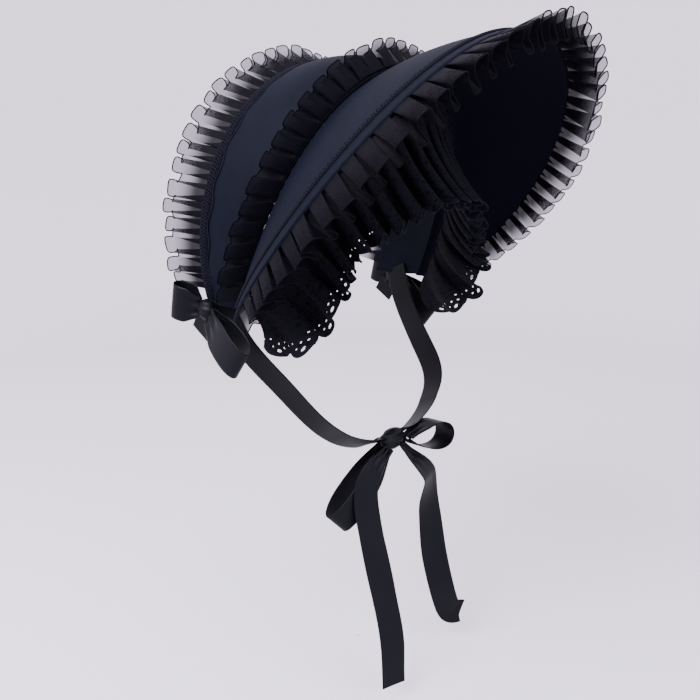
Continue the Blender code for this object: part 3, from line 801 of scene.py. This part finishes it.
def make_rear_braid():
    """The lace braid along the crown band's rear edge: a plait, picots on its front side and a cord in
    scallops beyond them."""

    def centre(stations):
        return (REAR_BRAID_INSET + 0.38 * REAR_BRAID_WIDTH) / crown_length(stations)

    lines = braid_lines(crown_point, crown_length, centre, REAR_BRAID)
    stations = np.linspace(-REAR_BRAID["reach"], REAR_BRAID["reach"], 1400)
    arc = path_length(crown_point(stations, 0 * stations))
    scallops = np.abs(np.cos(math.pi * arc / REAR_SCALLOPS["pitch"])) ** 2
    picots = np.abs(np.sin(math.pi * arc / REAR_PICOTS["pitch"]))
    for trim, wave in ((REAR_SCALLOPS, -scallops), (REAR_PICOTS, picots)):
        out = REAR_BRAID_INSET + trim["out"] + trim["depth"] * wave
        across = out / crown_length(stations)
        lines.append(trim_line(crown_point, stations, across, REAR_TRIM_LIFT, trim["radius"]))
    make_cords("rear_braid_lace", lines, ["rear_braid"])


def make_brim_braid():
    """The narrow lace braid on the brim, set back from the rim: a plait with picots behind it."""

    def centre(stations):
        inset = BRIM_BRAID_INSET + 0.4 * BRIM_BRAID_WIDTH
        return 1 - np.minimum(inset / brim_length(stations), 0.5)

    lines = braid_lines(brim_point, brim_length, centre, BRIM_BRAID)
    stations = np.linspace(-BRIM_BRAID["reach"], BRIM_BRAID["reach"], 2400)
    arc = path_length(brim_point(stations, 1 + 0 * stations))
    picots = np.abs(np.sin(math.pi * arc / BRIM_PICOTS["pitch"])) ** 0.7
    out = BRIM_PICOTS["out"] + BRIM_PICOTS["depth"] * picots
    across = centre(stations) - out / brim_length(stations)
    lines.append(trim_line(brim_point, stations, across, BRIM_TRIM_LIFT, BRIM_PICOTS["radius"]))
    make_cords("brim_braid_lace", lines, ["brim_braid"])


def smooth_route(points, steps):
    """A smooth curve through route points, at even steps of the route's numbering."""
    points = np.asarray(points, float)
    padded = np.concatenate([2 * points[:1] - points[1:2], points, 2 * points[-1:] - points[-2:-1]])
    where = np.linspace(0, len(points) - 1, steps + 1)
    index = np.minimum(where.astype(int), len(points) - 2)
    t = (where - index)[:, None]
    a, b, c, d = (padded[index + k] for k in range(4))
    return 0.5 * (2 * b + (c - a) * t + (2 * a - 5 * b + 4 * c - d) * t**2 + (3 * b - a - 3 * c + d) * t**3)


def off_knot(points, knot):
    """How far points lie outside a knot's rounded surface, near enough for points that are close to it."""
    scaled = (points - knot["centre"]) / knot["size"]
    reach = np.linalg.norm(scaled, axis=-1)
    return reach * (reach - 1) / np.linalg.norm(scaled / knot["size"], axis=-1)


def seated(line, breadth, width, knot, end, share):
    """A ribbon's middle line moved towards its knot until its gathered end is tucked in. end is the point
    that is tucked, and share is how much of the move each point makes."""
    way = unit(knot["centre"] - line[end])
    across = np.linspace(-0.5, 0.5, 9)[:, None] * width
    near, far = -2 * CLOTH_WALL, knot["size"].max() + RIBBON_WIDTH
    for _ in range(24):
        middle = (near + far) / 2
        moved = line + middle * share[:, None] * way
        points = moved[:, None] + 0.5 * across * breadth[:, None]
        if off_knot(points, knot).min() > -TUCK:
            near = middle
        else:
            far = middle
    return line + near * share[:, None] * way


def make_ribbon(name, line, breadth, width, pinch, cup, node, seed):
    """A satin ribbon over its middle line. It is drawn in and creases lengthwise where pinch is above 0, and
    it waves softly elsewhere. Its cross-section is cupped a little."""
    across = np.linspace(-0.5, 0.5, 17)
    facing = np.cross(breadth, unit(np.gradient(line, axis=0)))
    held = width * (1 - RIBBON_GATHER * pinch)
    crease = RIBBON_CREASE * pinch[:, None] * np.cos(TURN * 2.5 * across)
    bowl = cup * (4 * across**2 - 1) * width
    spread = (held[:, None] * across)[..., None] * breadth[:, None]
    grid = line[:, None] + spread + (crease + bowl)[..., None] * facing[:, None]
    arc = flat_sizes(grid)[..., 0]
    wave = RIBBON_WAVE * np.sin(arc / 0.009 + seed) * (1 - pinch[:, None])
    grid = grid + wave[..., None] * facing[:, None]
    piece = make_cloth(name, grid, "satin", RIBBON_WALL, 0.0, [node])


def along_route(rows, columns, start, span, facing, steps, knot, end, reach):
    """A ribbon's middle line and breadth from a route table, seated at its knot; end is 0 where the route
    starts at the knot and -1 where it ends there, and reach is the share of the route that seating moves."""
    route = [start + np.array([row[c] for c in columns]) * span for row in rows]
    line = smooth_route(route, steps)
    breadth = unit(np.cross(unit(np.gradient(line, axis=0)), smooth_route(facing, steps)))
    away = np.abs(np.linspace(0, 1, steps + 1) - (end != 0))
    share = smoothstep(1 - away / reach, 0, 1)
    return seated(line, breadth, RIBBON_WIDTH, knot, end, share), breadth


def make_loop(name, start, loop, way, opening_way, width, knot, node, seed):
    """A bow's loop: a teardrop that leaves its knot, turns at its tip and comes back, pinched there."""
    out = unit(way)
    opening_way = np.asarray(opening_way, float)
    opening_way = unit(opening_way - out * (out @ opening_way))
    turn = np.radians(np.linspace(16, 344, 97))
    reach = loop["length"] * (1 - np.cos(turn)) / 2
    spread = 0.65 * loop["opening"] * np.sin(turn) * np.sin(turn / 2)
    line = np.asarray(start) + (reach - reach[0])[:, None] * out + spread[:, None] * opening_way
    breadth = np.broadcast_to(unit(np.cross(out, opening_way)), line.shape)
    line = seated(line, breadth, width, knot, 0, np.ones(len(line)))
    pinch = 1 - smoothstep(reach - reach[0], 0.0, 0.42 * loop["length"])
    make_ribbon(name, line, breadth, width, pinch, 0.0, node, seed)


def make_knot(name, knot, node, wraps):
    """A knot: a rounded lump of ribbon, drawn in along its creases where the ribbon wraps it."""
    rows, columns = 41, 64
    up = np.linspace(0.02, math.pi - 0.02, rows)[:, None]
    round_it = np.linspace(0, TURN, columns + 1)[None, :]
    crease = 1 + 0.055 * np.cos(wraps * up + 0.9 * np.sin(round_it)) * np.sin(up) ** 2
    level = np.sin(up)
    ball = np.stack([level * np.cos(round_it), level * np.sin(round_it), np.cos(up) + 0 * round_it], axis=-1)
    grid = (knot["centre"] + crease[..., None] * ball * knot["size"])[:, :-1]
    index = np.arange(rows * columns).reshape(rows, columns)
    after = np.roll(index, -1, axis=1)
    quads = np.stack([index[:-1], index[1:], after[1:], after[:-1]], axis=-1).reshape(-1, 4)
    k = np.arange(columns // 2 - 1)
    cap = np.stack([k, k + 1, columns - 2 - k, columns - 1 - k], axis=-1)
    quads = np.concatenate([quads, cap, index[-1, 0] + cap[:, ::-1]])
    uv = np.stack([0.02 * round_it[:, :-1] + 0 * up, 0.01 * up + 0 * round_it[:, :-1]], axis=-1)
    make_piece(name, grid, quads, "satin", uv, nodes=[node])


def mirrored(vector, side):
    """A direction or point given for the wearer's left, turned over to the right where side is -1."""
    return np.array([side * vector[0], vector[1], vector[2]])


def side_knot(side):
    """The side knot sits outside the crown band's lower end, towards the rear."""
    here, outward, _ = surface_frame(crown_point, np.array([SIDE_KNOT_STATION * side]), np.array([0.30]))
    stand_off = CROWN_WALL + SIDE_KNOT_STAND_OFF + 0.75 * SIDE_KNOT_RADIUS
    return dict(
        centre=(here + stand_off * outward)[0] - np.array([0.0, 0.0, SIDE_KNOT_DROP]),
        size=np.array([0.75 * SIDE_KNOT_RADIUS, SIDE_KNOT_RADIUS, SIDE_KNOT_RADIUS]),
    )


def make_side_bow(side, word):
    """The bow at one ear: a knot, a loop to the rear, a loop to the front and a short cut end."""
    knot = side_knot(side)
    make_knot(f"side_bow_knot_satin_{word}", knot, f"side_bow_knot_{word}", 9)
    clear = SIDE_KNOT_RADIUS + 2 * SEWN_GAP
    sideways = mirrored((1.0, 0.0, 0.0), side)
    for which, loop in (("rear", SIDE_REAR_LOOP), ("front", SIDE_FRONT_LOOP)):
        way = unit(mirrored(loop["way"], side))
        start = knot["centre"] + clear * way + 0.002 * sideways
        name, node = f"side_bow_{which}_loop_satin_{word}", f"side_bow_{which}_loop_{word}"
        make_loop(name, start, loop, way, sideways, SIDE_RIBBON_WIDTH, knot, node, 1.0)
    way = unit(mirrored(SIDE_END_WAY, side))
    start = knot["centre"] + 0.9 * clear * way - 0.003 * sideways
    line = start + np.linspace(0, 1, 25)[:, None] * SIDE_END_LENGTH * way
    breadth = np.broadcast_to(unit(np.cross(way, sideways)), line.shape)
    line = seated(line, breadth, SIDE_END_WIDTH, knot, 0, np.ones(25))
    pinch = 1 - smoothstep(np.linspace(0, 1, 25), 0.0, 0.4)
    name, node = f"side_bow_end_satin_{word}", f"side_bow_end_{word}"
    make_ribbon(name, line, breadth, SIDE_END_WIDTH, pinch, 0.0, node, 2.0)


def chin_knot():
    """The chin knot hangs on the midline, below and in front of the crown's ends."""
    return dict(
        centre=np.array([0.0, FRONT_END[0] - CHIN_REACH, FRONT_END[1] - CHIN_DROP]),
        size=CHIN_KNOT_RADIUS * np.array([1.5, 0.8, 1.0]),
    )


def make_tie(side, word):
    """The ribbon from the crown band's end, down the cheek and under the chin to the chin knot."""
    knot = chin_knot()
    band_end = crown_point(np.array([1.0]), np.array([TIE_STATION]))[0]
    start = mirrored(band_end + np.array([0.5 * CROWN_WALL, 0.0, TIE_OVERLAP]), side)
    end = knot["centre"] + mirrored((1.5 * CHIN_KNOT_RADIUS + 2 * SEWN_GAP, 0.004, 0.002), side)
    cheek, under = mirrored((1.0, 0.0, 0.0), side), np.array([0.0, -0.5, -0.87])
    facing = [cheek, cheek, 0.8 * cheek + 0.4 * under, 0.4 * cheek + 0.7 * under, under, under]
    columns = ("across", "forward", "down")
    line, breadth = along_route(TIE_ROUTE, columns, start, end - start, facing, 140, knot, -1, 0.4)
    share = np.linspace(0, 1, 141)
    pinch = 1.5 * smoothstep(share, 0.88, 1.0)
    make_ribbon(f"tie_satin_{word}", line, breadth, RIBBON_WIDTH, pinch, 0.012, f"tie_{word}", 3.0)


def make_chin_bow():
    """The bow under the chin: a knot, two loops and two long tails."""
    knot = chin_knot()
    make_knot("chin_knot_satin", knot, "chin_knot", 9)
    for word, loop in CHIN_LOOPS.items():
        start = knot["centre"] + CHIN_KNOT_RADIUS * np.array(loop["start"])
        name, node = f"chin_loop_satin_{word}", f"chin_loop_{word}"
        way, opening_way = loop["way"], loop["opening_way"]
        make_loop(name, start, loop, way, opening_way, RIBBON_WIDTH, knot, node, 4.0)
    for word, rows in TAILS.items():
        turn = np.radians([row["turn"] for row in rows])
        facing = np.stack([-np.sin(turn), -np.cos(turn), 0 * turn], axis=-1)
        span = np.array([1.0, -1.0, -1.0])
        columns = ("left", "forward", "down")
        line, breadth = along_route(rows, columns, knot["centre"], span, facing, 150, knot, 0, 0.20)
        pinch = 1.5 * (1 - smoothstep(np.linspace(0, 1, 151), 0.0, 0.16))
        name, node = f"tail_satin_{word}", f"tail_{word}"
        make_ribbon(name, line, breadth, RIBBON_WIDTH, pinch, 0.010, node, 5.0)


def make_stage():
    """A round sweep of backdrop paper: a floor that curves up into a wall."""
    floor, radius, corner, height = -0.447, 1.55, 0.5, 2.4
    bend = np.linspace(0, math.pi / 2, 16)
    flat = np.linspace(0.2, radius - corner, 5)
    away = np.concatenate([[0.001], flat, radius - corner + corner * np.sin(bend), [radius]])
    level = np.concatenate([[0], 0 * flat, corner * (1 - np.cos(bend)), [height]])
    turn = np.linspace(0, TURN, 97)
    away, level = away[:, None], floor + level[:, None] + 0 * turn
    grid = np.stack([away * np.cos(turn), away * np.sin(turn), level], axis=-1)
    mesh = bpy.data.meshes.new("backdrop")
    mesh.from_pydata(grid.reshape(-1, 3).tolist(), [], grid_faces(*grid.shape[:2])[:, ::-1].tolist())
    mesh.materials.append(seamless_paper())
    mesh.shade_smooth()
    backdrop = bpy.data.objects.new("backdrop", mesh)
    bpy.context.scene.collection.objects.link(backdrop)
    # The cloth's own scattered light sees the pale world through the paper, which leaves less noise on it
    backdrop.visible_diffuse = backdrop.visible_glossy = backdrop.visible_shadow = False


def area_light(name, place, aim, size, power, code):
    """A soft square light."""
    data = bpy.data.lights.new(name, "AREA")
    data.size = size
    data.energy = power
    data.color = linear(code)[:3]
    light = bpy.data.objects.new(name, data)
    light.location = place
    light.rotation_euler = (Vector(aim) - Vector(place)).to_track_quat("-Z", "Y").to_euler()
    bpy.context.scene.collection.objects.link(light)


def make_lights():
    """A large key light above the camera's left, a weak fill, and a pale world that is brighter above."""
    area_light("key", (-1.0, 0.05, 0.75), (0, 0, -0.12), size=0.9, power=34, code="#fffaff")
    area_light("fill", (-0.1, -1.15, 0.35), (0, 0, -0.15), size=0.9, power=9, code="#f4f2ff")
    world = bpy.data.worlds.new("studio")
    world.use_nodes = True
    tree = world.node_tree
    tree.nodes["Background"].inputs["Color"].default_value = linear("#efe9f6")
    place = add(tree, "ShaderNodeTexCoord")
    parts = add(tree, "ShaderNodeSeparateXYZ", {"Vector": place.outputs["Generated"]})
    heights = {"Value": parts.outputs["Z"], "From Min": -1.0, "To Min": 1.5, "To Max": 1.66}
    strength = add(tree, "ShaderNodeMapRange", heights)
    tree.links.new(strength.outputs["Result"], tree.nodes["Background"].inputs["Strength"])
    bpy.context.scene.world = world


def make_camera():
    """The photograph's point of view."""
    heading, pitch = math.radians(CAMERA_HEADING), math.radians(CAMERA_PITCH)
    level = math.cos(pitch)
    ahead = Vector((math.sin(heading) * level, math.cos(heading) * level, -math.sin(pitch)))
    data = bpy.data.cameras.new("camera")
    data.lens = CAMERA_LENS
    data.sensor_width = CAMERA_LENS
    data.clip_start, data.clip_end = 0.01, 20.0
    camera = bpy.data.objects.new("camera", data)
    camera.location = CAMERA_PLACE
    camera.rotation_euler = ahead.to_track_quat("-Z", "Y").to_euler()
    bpy.context.scene.collection.objects.link(camera)
    bpy.context.scene.camera = camera


make_camera()
make_stage()
make_lights()
make_crown_band()
make_brim()
make_ruffles()
make_frill_half("lace_frill_right", 0.0, 0.5)
make_frill_half("lace_frill_left", 0.5, 1.0)
make_frill_cords()
make_rear_braid()
make_brim_braid()
for wearer_side, side_word in ((-1, "right"), (1, "left")):
    make_side_bow(wearer_side, side_word)
    make_tie(wearer_side, side_word)
make_chin_bow()
